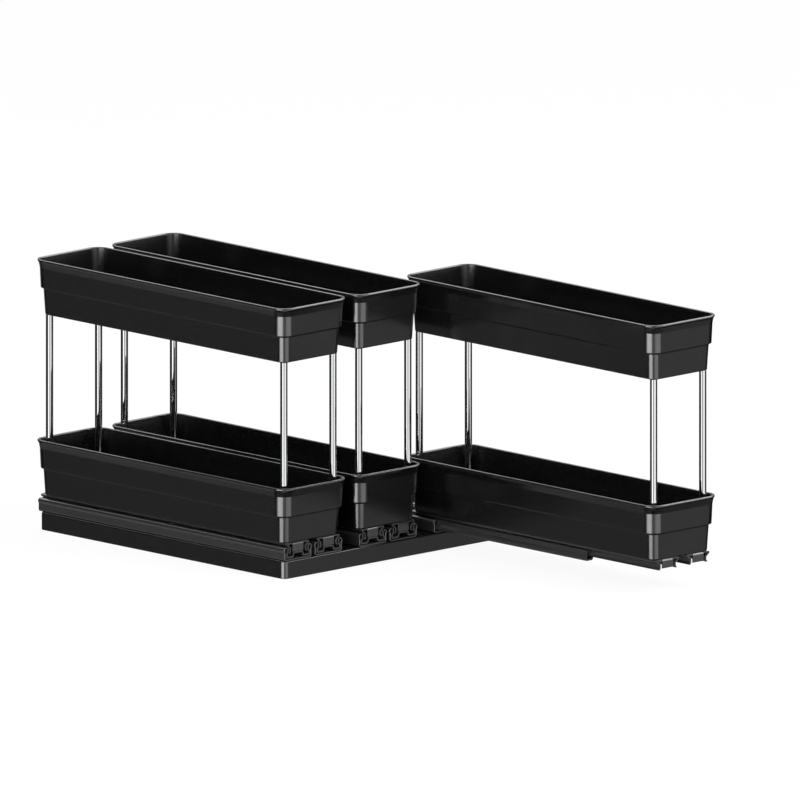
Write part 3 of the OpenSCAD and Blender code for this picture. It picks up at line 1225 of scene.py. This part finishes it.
@dataclass(frozen=True)
class SlideMaker:
    """The section of a flat three-member slide, out from its middle and up from the base."""

    outer_sheet: float = 1.1
    middle_sheet: float = 1.2
    inner_sheet: float = 1.0
    wall_in: float = 0.6
    race_gap: float = 0.1
    ball: float = 1.2
    small_ball: float = 0.85
    race_height: float = 7.9
    groove: float = 0.15
    run_gap: float = 0.05
    foot_gap: float = 0.5
    floor_gap: float = 0.8
    web_height: float = 12.65
    web_reach: float = 3.4
    lip_turn: float = 105.0
    lip_steps: int = 10
    outer_bend: float = 1.1
    ridge_top_x: float = 4.4
    ridge_foot_x: float = 5.4
    ridge_level: float = 0.57
    ridge_bend: float = 0.7
    low_level: float = 0.39
    high_level: float = 0.72
    low_bend: float = 0.8
    wall_bend: float = 0.5
    wall_rise: float = 2.0
    inner_rise: float = 1.5
    inner_drop: float = 1.2
    inner_flare: float = 1.2
    inner_foot: float = 0.1
    inner_bend: float = 0.8
    tab_width: float = 10.9
    tab_notch: float = 2.5
    tab_radius: float = 1.0
    tab_gap: float = 0.2

    def ball_x(self, width: float) -> float:
        """How far the outer balls run from the slide's middle."""
        return width / 2 - self.outer_sheet - self.race_gap - self.ball

    def middle_wall_x(self, width: float) -> float:
        """How far the middle member's walls stand from the slide's middle."""
        return self.ball_x(width) - self.ball - self.run_gap + self.groove - self.middle_sheet / 2

    def inner_wall_x(self, width: float) -> float:
        """How far the inner member's walls stand from the slide's middle.

        Args:
            width: The slide's width.

        Returns:
            The distance.
        """
        ball_x = self.middle_wall_x(width) - self.middle_sheet / 2 + self.groove
        ball_x -= self.run_gap + self.small_ball
        return ball_x - self.small_ball - self.run_gap + self.groove - self.inner_sheet / 2

    @property
    def middle_floor(self) -> float:
        """The height of the middle member's floor."""
        return self.outer_sheet + self.floor_gap + self.middle_sheet / 2

    @property
    def ridge(self) -> float:
        """The height of the middle member's raised middle."""
        return self.middle_level(self.ridge_level)

    def middle_level(self, share: float) -> float:
        """A height between the middle member's floor and the ball race."""
        return self.middle_floor + share * (self.race_height - self.middle_floor)

    def outer(self, width: float, length: float) -> bpy.types.Mesh:
        """The outer member: a channel whose edges are rolled round the balls.

        Args:
            width: The slide's width.
            length: Its length.

        Returns:
            The member's sheet.
        """
        radius = self.ball + self.race_gap + self.outer_sheet / 2
        wall_x = width / 2 - self.wall_in - self.outer_sheet / 2
        centre = Vector((self.ball_x(width), -length / 2, self.race_height))
        start = math.acos((wall_x - centre.x) / radius)
        low = Vector((wall_x, -length / 2, self.race_height - radius * math.sin(start)))
        work = Workpiece()
        corner = Bend(wall_x, self.outer_sheet / 2, self.outer_bend)
        verts = [
            work.bm.verts.new((0, -length / 2, corner.z)),
            work.bm.verts.new((corner.x, -length / 2, corner.z)),
            work.bm.verts.new(low),
        ]
        for pair in zip(verts, verts[1:]):
            work.bm.edges.new(pair)
        bmesh.ops.spin(
            work.bm, geom=[verts[-1]], cent=centre, axis=(0, -1, 0),
            angle=start + math.radians(self.lip_turn), steps=self.lip_steps, use_merge=False,
        )
        work.mirror_and_draw(length)
        work.round_edges(work.edges_at(corner), corner.radius, BEND_STEPS)
        return work.mesh("outer_member")

    def middle(self, width: float, length: float) -> bpy.types.Mesh:
        """The middle member: a channel with a raised middle and drawn-in walls.

        Args:
            width: The slide's width.
            length: Its length.

        Returns:
            The member's sheet.
        """
        wall_x = self.middle_wall_x(width)
        foot_x = width / 2 - self.wall_in - self.outer_sheet - self.foot_gap
        foot_x -= self.middle_sheet / 2
        bends = [
            Bend(0, self.ridge),
            Bend(self.ridge_top_x, self.ridge, self.ridge_bend),
            Bend(self.ridge_foot_x, self.middle_floor, self.ridge_bend),
            Bend(foot_x, self.middle_floor, self.low_bend),
            Bend(foot_x, self.middle_level(self.low_level), self.wall_bend),
            Bend(wall_x, self.middle_level(self.high_level), self.wall_bend),
            Bend(wall_x, self.race_height + self.wall_rise),
        ]
        work = Workpiece()
        work.bent_strip(bends, length)
        return work.mesh("middle_member")

    def inner(self, width: float, length: float) -> bpy.types.Mesh:
        """The inner member under the basket, with the stop tab at its front end.

        Args:
            width: The slide's width.
            length: Its length.

        Returns:
            The member's sheet.
        """
        wall_x = self.inner_wall_x(width)
        web_x = wall_x + self.inner_sheet / 2 + self.web_reach
        bends = [
            Bend(0, self.web_height),
            Bend(web_x, self.web_height, self.wall_bend),
            Bend(wall_x, self.race_height + self.inner_rise, self.inner_bend),
            Bend(wall_x, self.race_height - self.inner_drop, self.inner_bend),
            Bend(wall_x + self.inner_flare, self.ridge - self.inner_foot),
        ]
        work = Workpiece()
        work.bent_strip(bends, length)
        self.bend_tab(work, length)
        return work.mesh("inner_member")

    def bend_tab(self, work: Workpiece, length: float) -> None:
        """Notches the inner member's web at its front and bends the stop tab down.

        Args:
            work: The inner member's sheet.
            length: Its length.
        """
        front, half = -length / 2, self.tab_width / 2
        for point, normal in (
            ((half, 0, 0), (1, 0, 0)),
            ((-half, 0, 0), (1, 0, 0)),
            ((0, front + self.tab_notch, 0), (0, 1, 0)),
        ):
            whole = list(work.bm.verts) + list(work.bm.edges) + list(work.bm.faces)
            bmesh.ops.bisect_plane(work.bm, geom=whole, plane_co=point, plane_no=normal)
        web = self.web_height - NEAR
        notch = [
            f
            for f in work.bm.faces
            if f.calc_center_median().z > web
            and abs(f.calc_center_median().x) < half
            and f.calc_center_median().y < front + self.tab_notch
        ]
        bmesh.ops.delete(work.bm, geom=notch, context="FACES")
        hinge = [
            e
            for e in work.bm.edges
            if e.is_boundary
            and all(
                abs(v.co.y - front - self.tab_notch) < NEAR and v.co.z > web for v in e.verts
            )
        ]
        foot = self.ridge + self.middle_sheet / 2 + self.tab_gap
        moves = (
            Vector((0, self.inner_sheet / 2 - self.tab_notch, 0)),
            upright(foot - self.web_height),
        )
        for move in moves:
            made = bmesh.ops.extrude_edge_only(work.bm, edges=hinge)["geom"]
            verts = [g for g in made if isinstance(g, bmesh.types.BMVert)]
            hinge = [g for g in made if isinstance(g, bmesh.types.BMEdge)]
            hinge = [e for e in hinge if all(v in verts for v in e.verts)]
            bmesh.ops.translate(work.bm, verts=verts, vec=move)
        bend_y = front + self.inner_sheet / 2
        fold = [
            e
            for e in work.bm.edges
            if all(abs(v.co.y - bend_y) < NEAR and v.co.z > web for v in e.verts)
        ]
        work.round_edges(fold, self.tab_radius, BEND_STEPS)
        bmesh.ops.recalc_face_normals(work.bm, faces=work.bm.faces)


@dataclass(frozen=True)
class BaseMaker:
    """The base: a shallow moulding that is open below, with ribs, blocks and bosses."""

    plate: float = 2.4
    skirt: float = 2.4
    corner_radius: float = 4.6
    top_edge: float = 1.4
    low_edge: float = 0.4
    rib: float = 1.8
    rib_lift: float = 1.0
    rib_edge: float = 0.2
    rib_step: float = 0.05
    sunk: float = 0.2
    block: float = 26.0
    block_radius: float = 1.0
    boss_edge: float = 0.3
    pad_gap: float = 0.3
    screw_boss: float = 3.5
    screw_depth: float = 8.0
    fixing_boss: float = 5.0
    fixing_hole: float = 2.2
    fixing_head: float = 4.2
    fixing_inset: float = 21.5

    def make(
        self, seat: Seat, pads: Seat, columns: Sequence[float], screws: Sequence[Vector],
        pad_rows: Sequence[float], pad_size: float,
    ) -> bpy.types.Mesh:
        """The whole base.

        Args:
            seat: The base's box.
            pads: The box of the adhesive pads.
            columns: The columns' places along X.
            screws: The axes of the screws that hold the slides.
            pad_rows: The pads' places along Y.
            pad_size: The side of a pad.

        Returns:
            The base, in its own place.
        """
        size, low, roof = seat.size, seat.low.z, seat.high.z - self.plate
        work = Workpiece()
        face = work.rounded_face(size.x, size.y, self.corner_radius, low)
        under, top = work.prism(face, size.z)
        loops = [(list(under.edges), self.low_edge), (list(top.edges), self.top_edge)]
        inner = [Step(self.skirt, 0.0, 0.0), Step(0.0, roof - low, 0.0)]
        work.walk_in(under, inner, outwards=False)
        for edges, radius in loops:
            work.round_edges(edges, radius)
        shell = cut(work.mesh("base_shell"), self.fixing_cutter(seat, columns))
        below = self.underside(seat, pads, columns, screws, pad_rows, pad_size)
        return joined("base", [(shell, ORIGIN), (below, ORIGIN)])

    def fixings(self, seat: Seat, columns: Sequence[float]) -> list[Vector]:
        """Where screws can fix the base to a shelf, between the columns.

        Args:
            seat: The base's box.
            columns: The columns' places along X.

        Returns:
            The screws' axes.
        """
        reach = seat.size.y / 2 - self.fixing_inset
        between = [(a + b) / 2 for a, b in zip(columns, columns[1:])]
        return [Vector((x, y, 0)) for x in between for y in (-reach, reach)]

    def fixing_cutter(self, seat: Seat, columns: Sequence[float]) -> bpy.types.Mesh:
        """The cutter for the countersunk holes of the shelf screws.

        Args:
            seat: The base's box.
            columns: The columns' places along X.

        Returns:
            The cutter.
        """
        top, hole, head = seat.high.z, self.fixing_hole, self.fixing_head
        low = top - self.plate - PAST
        profile = [
            (0.0, low), (hole, low), (hole, top - (head - hole)), (head + PAST, top + PAST),
            (0.0, top + PAST),
        ]
        work = Workpiece()
        for at in self.fixings(seat, columns):
            work.lathe(profile, at, closed=False)
        return work.mesh("fixing_holes")

    def underside(
        self, seat: Seat, pads: Seat, columns: Sequence[float], screws: Sequence[Vector],
        pad_rows: Sequence[float], pad_size: float,
    ) -> bpy.types.Mesh:
        """The ribs, the blocks over the pads and the bosses.

        Args:
            seat: The base's box.
            pads: The box of the adhesive pads.
            columns: The columns' places along X.
            screws: The axes of the screws that hold the slides.
            pad_rows: The pads' places along Y.
            pad_size: The side of a pad.

        Returns:
            The mesh of everything under the plate.
        """
        work = Workpiece()
        low, roof = seat.low.z, seat.high.z - self.plate + self.sunk
        rib_low, edge = low + self.rib_lift, self.boss_edge
        half_pitch = (columns[1] - columns[0]) / 2
        skirts = 2 * (self.skirt - self.sunk)
        inside = seat.size - Vector((skirts, skirts, 0))
        along = Vector((self.rib, inside.y, roof - rib_low))
        across = Vector((inside.x, self.rib, roof - rib_low - self.rib_step))
        for k in range(-2, 3):
            work.block(along, Vector((k * half_pitch, 0, rib_low)), self.rib_edge)
        for y in pad_rows:
            work.block(across, Vector((0, y, rib_low)), self.rib_edge)
        for x in columns:
            for y in pad_rows:
                self.pad_block(work, Vector((x, y, low)), roof - low, pads, pad_size)
        floor, reach = seat.high.z - self.plate - self.screw_depth, self.screw_boss
        boss = [
            (0.0, floor), (reach - edge, floor), (reach, floor + edge), (reach, roof), (0.0, roof),
        ]
        for at in screws:
            work.lathe(boss, at, closed=False)
        hole, reach = self.fixing_hole, self.fixing_boss
        tube = [
            (hole, low), (reach - edge, low), (reach, low + edge), (reach, roof), (hole, roof),
        ]
        for at in self.fixings(seat, columns):
            work.lathe(tube, at, closed=True)
        return work.mesh("base_underside")

    def pad_block(
        self, work: Workpiece, at: Vector, height: float, pads: Seat, pad_size: float
    ) -> None:
        """Adds the block that a pad sticks in, with the shallow recess for it.

        Args:
            work: The underside.
            at: The middle of the block's underside.
            height: The block's height.
            pads: The box of the pads.
            pad_size: The side of a pad.
        """
        before = set(work.bm.verts)
        face = work.rounded_face(self.block, self.block, self.block_radius, 0.0)
        under, _ = work.prism(face, height)
        rim = (self.block - pad_size) / 2 - self.pad_gap
        recess = pads.high.z - at.z
        work.walk_in(under, [Step(rim, 0.0, 0.0), Step(0.0, recess, 0.0)], outwards=False)
        moved = [v for v in work.bm.verts if v not in before]
        bmesh.ops.translate(work.bm, verts=moved, vec=at)


# ---- The rack -----------------------------------------------------------------------


@dataclass
class RackBuilder:
    """The whole rack: what is made once, and where each piece goes."""

    baskets: BasketMaker = field(default_factory=BasketMaker)
    posts: PostMaker = field(default_factory=PostMaker)
    slides: SlideMaker = field(default_factory=SlideMaker)
    base: BaseMaker = field(default_factory=BaseMaker)
    screw_inset: float = 32.0
    post_bite: float = 8.0
    plate_bite: float = 8.0
    screw_past_web: float = 2.0
    pad_size: float = 20.0
    pad_inset: float = 37.0

    def rows(self, member: Seat) -> list[float]:
        """The three screw rows of a slide, along Y.

        Args:
            member: The box of one of its members.

        Returns:
            The rows' places.
        """
        reach = member.size.y / 2 - self.screw_inset
        return [member.middle.y + reach * k for k in (-1, 0, 1)]

    def build(self) -> None:
        """Builds every piece of the rack."""
        self.build_base()
        self.build_slides()
        for column in Column:
            self.build_column(column)
        self.dress_frame_nodes()

    def build_base(self) -> None:
        """Builds the base and the screws that hold the slides to it."""
        seat, pads = Seat.of("base_tray"), Seat.of("adhesive_pads")
        columns = [Seat.of(c.node("outer_member_left")) for c in Column]
        partners = [Seat.of(c.node("outer_member_right")) for c in Column]
        middles = [(a.middle.x + b.middle.x) / 2 for a, b in zip(columns, partners)]
        screws = [
            Vector((member.middle.x, y, 0))
            for member in columns + partners
            for y in self.rows(member)
        ]
        reach = seat.size.y / 2 - self.pad_inset
        mesh = self.base.make(
            seat, pads, middles, screws, [-reach, 0.0, reach], self.pad_size
        )
        Stock(mesh, BASE_PLASTIC).set_down("base_moulding", ORIGIN, "base", "base_tray")
        top = seat.high.z + self.slides.outer_sheet
        screw = SCREW.pan(self.plate_bite + self.slides.outer_sheet)
        group = joined("slide_screws", [(screw, (at + upright(top)) * MM) for at in screws])
        Stock(group, SCREW_STEEL).set_down("slide_screw_set", ORIGIN, "base", "slide_screws")

    def build_slides(self) -> None:
        """Builds the three members of each slide."""
        width, length, _ = Seat.of(Column.LEFT.node("outer_member_left")).size
        maker = self.slides
        members = {
            "outer_member": (maker.outer(width, length), maker.outer_sheet),
            "middle_member": (maker.middle(width, length), maker.middle_sheet),
            "inner_member": (maker.inner(width, length), maker.inner_sheet),
        }
        for column in Column:
            bodies = {
                "outer_member": "base",
                "middle_member": column.node("extension"),
                "inner_member": column.body,
            }
            for slide in Slide:
                floor = Seat.of(column.node(f"outer_member_{slide.value}")).low.z
                for member, (mesh, sheet) in members.items():
                    node = column.node(f"{member}_{slide.value}")
                    seat = Seat.of(node)
                    at = Vector((seat.middle.x, seat.middle.y, floor)) * MM
                    stock = Stock(mesh, SLIDE_BLACK, Sheetmetal(sheet))
                    stock.set_down(f"{node}_strip", at, bodies[member], node)

    def build_column(self, column: Column) -> None:
        """Builds the baskets, posts and screws of a column.

        Args:
            column: Which column.
        """
        tiers = {tier: Seat.of(column.node(tier.value)) for tier in Tier}
        lower, upper = tiers[Tier.LOWER], tiers[Tier.UPPER]
        posts = {corner: Seat.of(column.node(corner.value)) for corner in Corner}
        post = posts[Corner.FRONT_LEFT]
        radius = post.size.x / 2
        stands = [seat.middle - lower.middle for seat in posts.values()]
        slides = [Seat.of(column.node(f"inner_member_{slide.value}")) for slide in Slide]
        screws = [
            Vector((seat.middle.x, y, 0)) - Vector((lower.middle.x, lower.middle.y, 0))
            for seat in slides
            for y in self.rows(seat)
        ]
        for tier, seat in tiers.items():
            holes = screws if tier is Tier.LOWER else []
            mesh = self.baskets.make(seat.size, stands, radius, holes)
            node = column.node(tier.value)
            Stock(mesh, BASKET_PLASTIC).set_down(
                f"{node}_moulding", seat.foot * MM, column.body, node
            )
        rod = Stock(self.posts.make(radius, post.size.z), POST_CHROME)
        for corner, seat in posts.items():
            node = column.node(corner.value)
            rod.set_down(f"{node}_rod", seat.foot * MM, column.body, node)
        self.build_screws(column, lower, upper, list(posts.values()), screws)

    def build_screws(
        self, column: Column, lower: Seat, upper: Seat, posts: Sequence[Seat],
        floor_screws: Sequence[Vector],
    ) -> None:
        """Builds the screws of a column.

        Args:
            column: Which column.
            lower: The lower basket's box.
            upper: The upper basket's box.
            posts: The posts' boxes.
            floor_screws: The slide screws' axes, from the basket's centre.
        """
        boss = self.baskets.boss_top
        down = SCREW.countersunk(boss + self.post_bite)
        up = down.copy()
        up.transform(Matrix.Rotation(math.pi, 4, "X"))
        places = []
        for seat in posts:
            axis = Vector((seat.middle.x, seat.middle.y, 0))
            places.append((up, (axis + upright(lower.low.z)) * MM))
            places.append((down, (axis + upright(upper.low.z + boss)) * MM))
        Stock(joined("post_screws", places), SCREW_STEEL).set_down(
            column.node("post_screw_set"), ORIGIN, column.body, column.node("post_screws")
        )
        short = SCREW.countersunk(self.baskets.floor + self.screw_past_web)
        level = lower.foot + upright(self.baskets.floor)
        places = [(short, (level + at) * MM) for at in floor_screws]
        Stock(joined("basket_screws", places), SCREW_STEEL).set_down(
            column.node("basket_screw_set"), ORIGIN, column.body, column.node("basket_screws")
        )

    def dress_frame_nodes(self) -> None:
        """Dresses the frame's own balls, cages and pads."""
        dress("adhesive_pads", PAD_FOAM)
        for column in Column:
            for row in ("outer", "inner"):
                dress(column.node(f"{row}_cages"), CAGE_STEEL)
                dress(column.node(f"{row}_balls"), BALL_STEEL)


def dress(node: str, finish: Finish) -> None:
    """Gives one of the frame's own meshes a finish.

    Args:
        node: The node's name.
        finish: What it is dressed in.
    """
    piece = bpy.data.objects[node]
    for slot in piece.material_slots:
        slot.material = finish.material()
    if not piece.material_slots:
        piece.data.materials.append(finish.material())
    log.info("%s keeps the frame's mesh, dressed in %s", node, finish.name)


# ---- Studio -------------------------------------------------------------------------


@dataclass(frozen=True)
class Card:
    """A large card that only reflections see: bright, grey or black.

    It goes from its start to its end round the compass, which runs in degrees from +X
    towards +Y, and from low to high in degrees above the horizon. A satin surface sees
    the glow, and a mirror the sheen, where 1 is white.
    """

    name: str
    start: float
    end: float
    low: float
    high: float
    glow: float
    sheen: float = 0.05


@dataclass(frozen=True)
class Softbox:
    """A soft lamp that looks at the rack: its place in degrees, size and power in watts."""

    name: str
    compass: float
    height: float
    distance: float
    size: float
    power: float


@dataclass(frozen=True)
class Studio:
    """A pale floor, soft lamps, reflection cards and the camera.

    Sizes are in metres, and angles in degrees.
    """

    aim: tuple[float, float, float] = (0.00043, -0.14367, 0.12335)
    azimuth: float = -43.83
    elevation: float = 11.385
    view_width: float = 0.59425
    camera_distance: float = 3.0
    floor_size: float = 24.0
    floor_shade: float = 0.8
    floor_faint: float = 0.12
    floor_white: float = 0.935
    world_light: float = 0.3
    card_radius: float = 2.6
    card_level: float = 0.08
    card_steps: int = 8
    cards: tuple[Card, ...] = (
        Card("right_flag", -34.0, 40.0, -21.0, 4.0, 0.0, 0.02),
        Card("rear_grey", 40.0, 92.0, -21.0, 4.0, 0.3, 0.02),
        Card("rear_flag", 92.0, 126.0, -21.0, 4.0, 0.02, 0.02),
        Card("left_grey", 126.0, 140.0, -21.0, 4.0, 0.2, 0.02),
        Card("left_flag", 140.0, 163.0, -21.0, 4.0, 0.0, 0.02),
        Card("key_edge", 164.0, 172.0, -21.0, 25.0, 2.4, 0.1),
        Card("key_side", 172.0, 179.0, -21.0, 25.0, 7.6, 0.3),
        Card("key_box", 179.0, 214.0, -21.0, 25.0, 7.6, 1.5),
        Card("front_grey", 214.0, 243.0, -21.0, 25.0, 0.9, 0.22),
        Card("fill_box", 243.0, 288.0, -21.0, 25.0, 2.6, 1.1),
        Card("fill_edge", 288.0, 297.0, -21.0, 4.0, 0.42, 1.1),
        Card("right_grey", 297.0, 326.0, -21.0, 4.0, 0.42, 0.02),
        Card("low_left", 96.0, 131.0, -48.0, -21.5, 0.44, 0.9),
        Card("low_front", 131.0, 300.0, -75.0, -21.5, 0.02, 0.7),
        Card("low_right", 300.0, 345.0, -48.0, -21.5, 0.13, 0.05),
        Card("low_rear", -15.0, 96.0, -48.0, -21.5, 0.02, 0.8),
        Card("deep_rear", -60.0, 131.0, -75.0, -48.5, 0.02, 0.6),
        Card("high_flag", 108.0, 165.0, 4.5, 40.0, 0.0),
        Card("right_box", 289.0, 326.0, 4.5, 27.0, 5.0, 0.5),
        Card("rear_box", 8.0, 108.0, 4.5, 27.5, 0.5, 1.0),
        Card("top_box", -48.0, 60.0, 28.0, 55.0, 5.0, 1.0),
        Card("left_top_box", 60.0, 108.0, 30.0, 55.0, 3.0, 1.0),
    )
    lamps: tuple[Softbox, ...] = (
        Softbox("front_softbox", 290.0, 38.0, 2.2, 1.2, 22.0),
        Softbox("left_softbox", 190.0, 40.0, 2.4, 1.2, 8.0),
        Softbox("top_softbox", 60.0, 75.0, 2.4, 1.6, 10.0),
    )

    def build(self) -> None:
        """Sets up the camera, the world, the floor, the lamps and the cards."""
        view = bpy.context.scene.view_settings
        view.view_transform = "Standard"
        self.build_camera()
        self.build_world()
        self.build_floor()
        for lamp in self.lamps:
            self.build_lamp(lamp)
        for card in self.cards:
            self.build_card(card)

    def build_camera(self) -> None:
        """Makes the camera, a parallel view at the photo's angle."""
        turn, tilt = math.radians(self.azimuth), math.radians(self.elevation)
        ahead = Vector(
            (-math.sin(turn) * math.cos(tilt), math.cos(turn) * math.cos(tilt), -math.sin(tilt))
        )
        data = bpy.data.cameras.new("camera")
        data.type = "ORTHO"
        data.ortho_scale = self.view_width
        camera = in_scene("camera", data)
        camera.location = Vector(self.aim) - ahead * self.camera_distance
        camera.rotation_euler = ahead.to_track_quat("-Z", "Y").to_euler()
        bpy.context.scene.camera = camera

    def build_world(self) -> None:
        """Makes the world: white to the eye, to metal and to glass, and dimmer as a light."""
        world = bpy.data.worlds.new("studio")
        world.use_nodes = True
        bpy.context.scene.world = world
        board = Board(world.node_tree)
        eye = board.add("ShaderNodeLightPath", output="Is Camera Ray")
        gloss = board.add("ShaderNodeLightPath", output="Is Glossy Ray")
        glass = board.add("ShaderNodeLightPath", output="Is Transmission Ray")
        seen = eye + gloss + glass
        strength = seen * (1.0 - self.world_light) + self.world_light
        shade = board.add(
            "ShaderNodeBackground", None, {"Color": (1, 1, 1, 1), "Strength": strength}
        )
        board.end("ShaderNodeOutputWorld", shade)

    def build_floor(self) -> None:
        """Makes the pale floor, nearly white to the eye, which keeps the rack's shadow."""
        work = bmesh.new()
        bmesh.ops.create_grid(work, x_segments=1, y_segments=1, size=self.floor_size / 2)
        floor = in_scene("floor", mesh_of(work, "floor"))
        floor.visible_glossy = False
        board = self.paint(floor)
        shade, faint = self.floor_shade, self.floor_faint
        paint = board.add("ShaderNodeBsdfDiffuse", None, {"Color": (shade, shade, shade, 1)})
        lit = board.add("ShaderNodeBsdfDiffuse", None, {"Color": (faint, faint, faint, 1)})
        white = board.add("ShaderNodeEmission", None, {"Strength": self.floor_white})
        pale = board.add("ShaderNodeAddShader", None, {0: lit, 1: white})
        eye = board.add("ShaderNodeLightPath", output="Is Camera Ray")
        mixed = board.add("ShaderNodeMixShader", None, {0: eye, 1: paint, 2: pale})
        board.end("ShaderNodeOutputMaterial", mixed)

    def paint(self, prop: bpy.types.Object) -> Board:
        """Gives the floor or a card its material.

        Args:
            prop: The floor or card.

        Returns:
            The material's nodes.
        """
        material = bpy.data.materials.new(prop.name)
        material.use_nodes = True
        prop.data.materials.append(material)
        return Board(material.node_tree)

    def direction(self, compass: float, height: float) -> Vector:
        """The way to a place in the studio.

        Args:
            compass: Degrees from +X towards +Y.
            height: Degrees above the horizon.

        Returns:
            A unit vector.
        """
        turn, rise = math.radians(compass), math.radians(height)
        return Vector(
            (math.cos(turn) * math.cos(rise), math.sin(turn) * math.cos(rise), math.sin(rise))
        )

    def build_lamp(self, lamp: Softbox) -> None:
        """Hangs a soft lamp.

        Args:
            lamp: Its place, size and power.
        """
        data = bpy.data.lights.new(lamp.name, "AREA")
        data.shape = "DISK"
        data.size = lamp.size
        data.energy = lamp.power
        away = self.direction(lamp.compass, lamp.height)
        light = in_scene(lamp.name, data)
        light.location = Vector(self.aim) + away * lamp.distance
        light.rotation_euler = (-away).to_track_quat("-Z", "Y").to_euler()
        light.visible_glossy = False

    def build_card(self, card: Card) -> None:
        """Stands a card round the rack, which only reflections see.

        Args:
            card: Its place and how bright it is.
        """
        work = bmesh.new()
        steps = self.card_steps
        rise = math.radians(card.high - card.low)
        start = self.direction(card.start, card.low) * self.card_radius
        turn = math.radians(card.start)
        across = Vector((math.sin(turn), -math.cos(turn), 0))
        first = work.verts.new(start)
        bmesh.ops.spin(
            work, geom=[first], cent=(0, 0, 0), axis=across, angle=rise, steps=steps,
            use_merge=False,
        )
        bmesh.ops.spin(
            work, geom=list(work.verts) + list(work.edges), cent=(0, 0, 0), axis=(0, 0, 1),
            angle=math.radians(card.end - card.start), steps=2 * steps, use_merge=False,
        )
        mesh = mesh_of(work, card.name)
        mesh.transform(Matrix.Translation((self.aim[0], self.aim[1], self.card_level)))
        piece = in_scene(card.name, mesh)
        piece.visible_camera = False
        piece.visible_diffuse = False
        piece.visible_shadow = False
        board = self.paint(piece)
        piece.active_material.cycles.emission_sampling = "NONE"
        mirror = board.add("ShaderNodeLightPath", output="Is Singular Ray")
        strength = mirror * (card.sheen - card.glow) + card.glow
        glow = board.add("ShaderNodeEmission", None, {"Strength": strength})
        board.end("ShaderNodeOutputMaterial", glow)


# ---- Making it ----------------------------------------------------------------------


def main() -> None:
    """Loads the frame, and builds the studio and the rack."""
    logging.basicConfig(level=logging.INFO, format="%(name)s: %(message)s")
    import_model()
    Studio().build()
    RackBuilder().build()


if __name__ == "__main__":
    main()
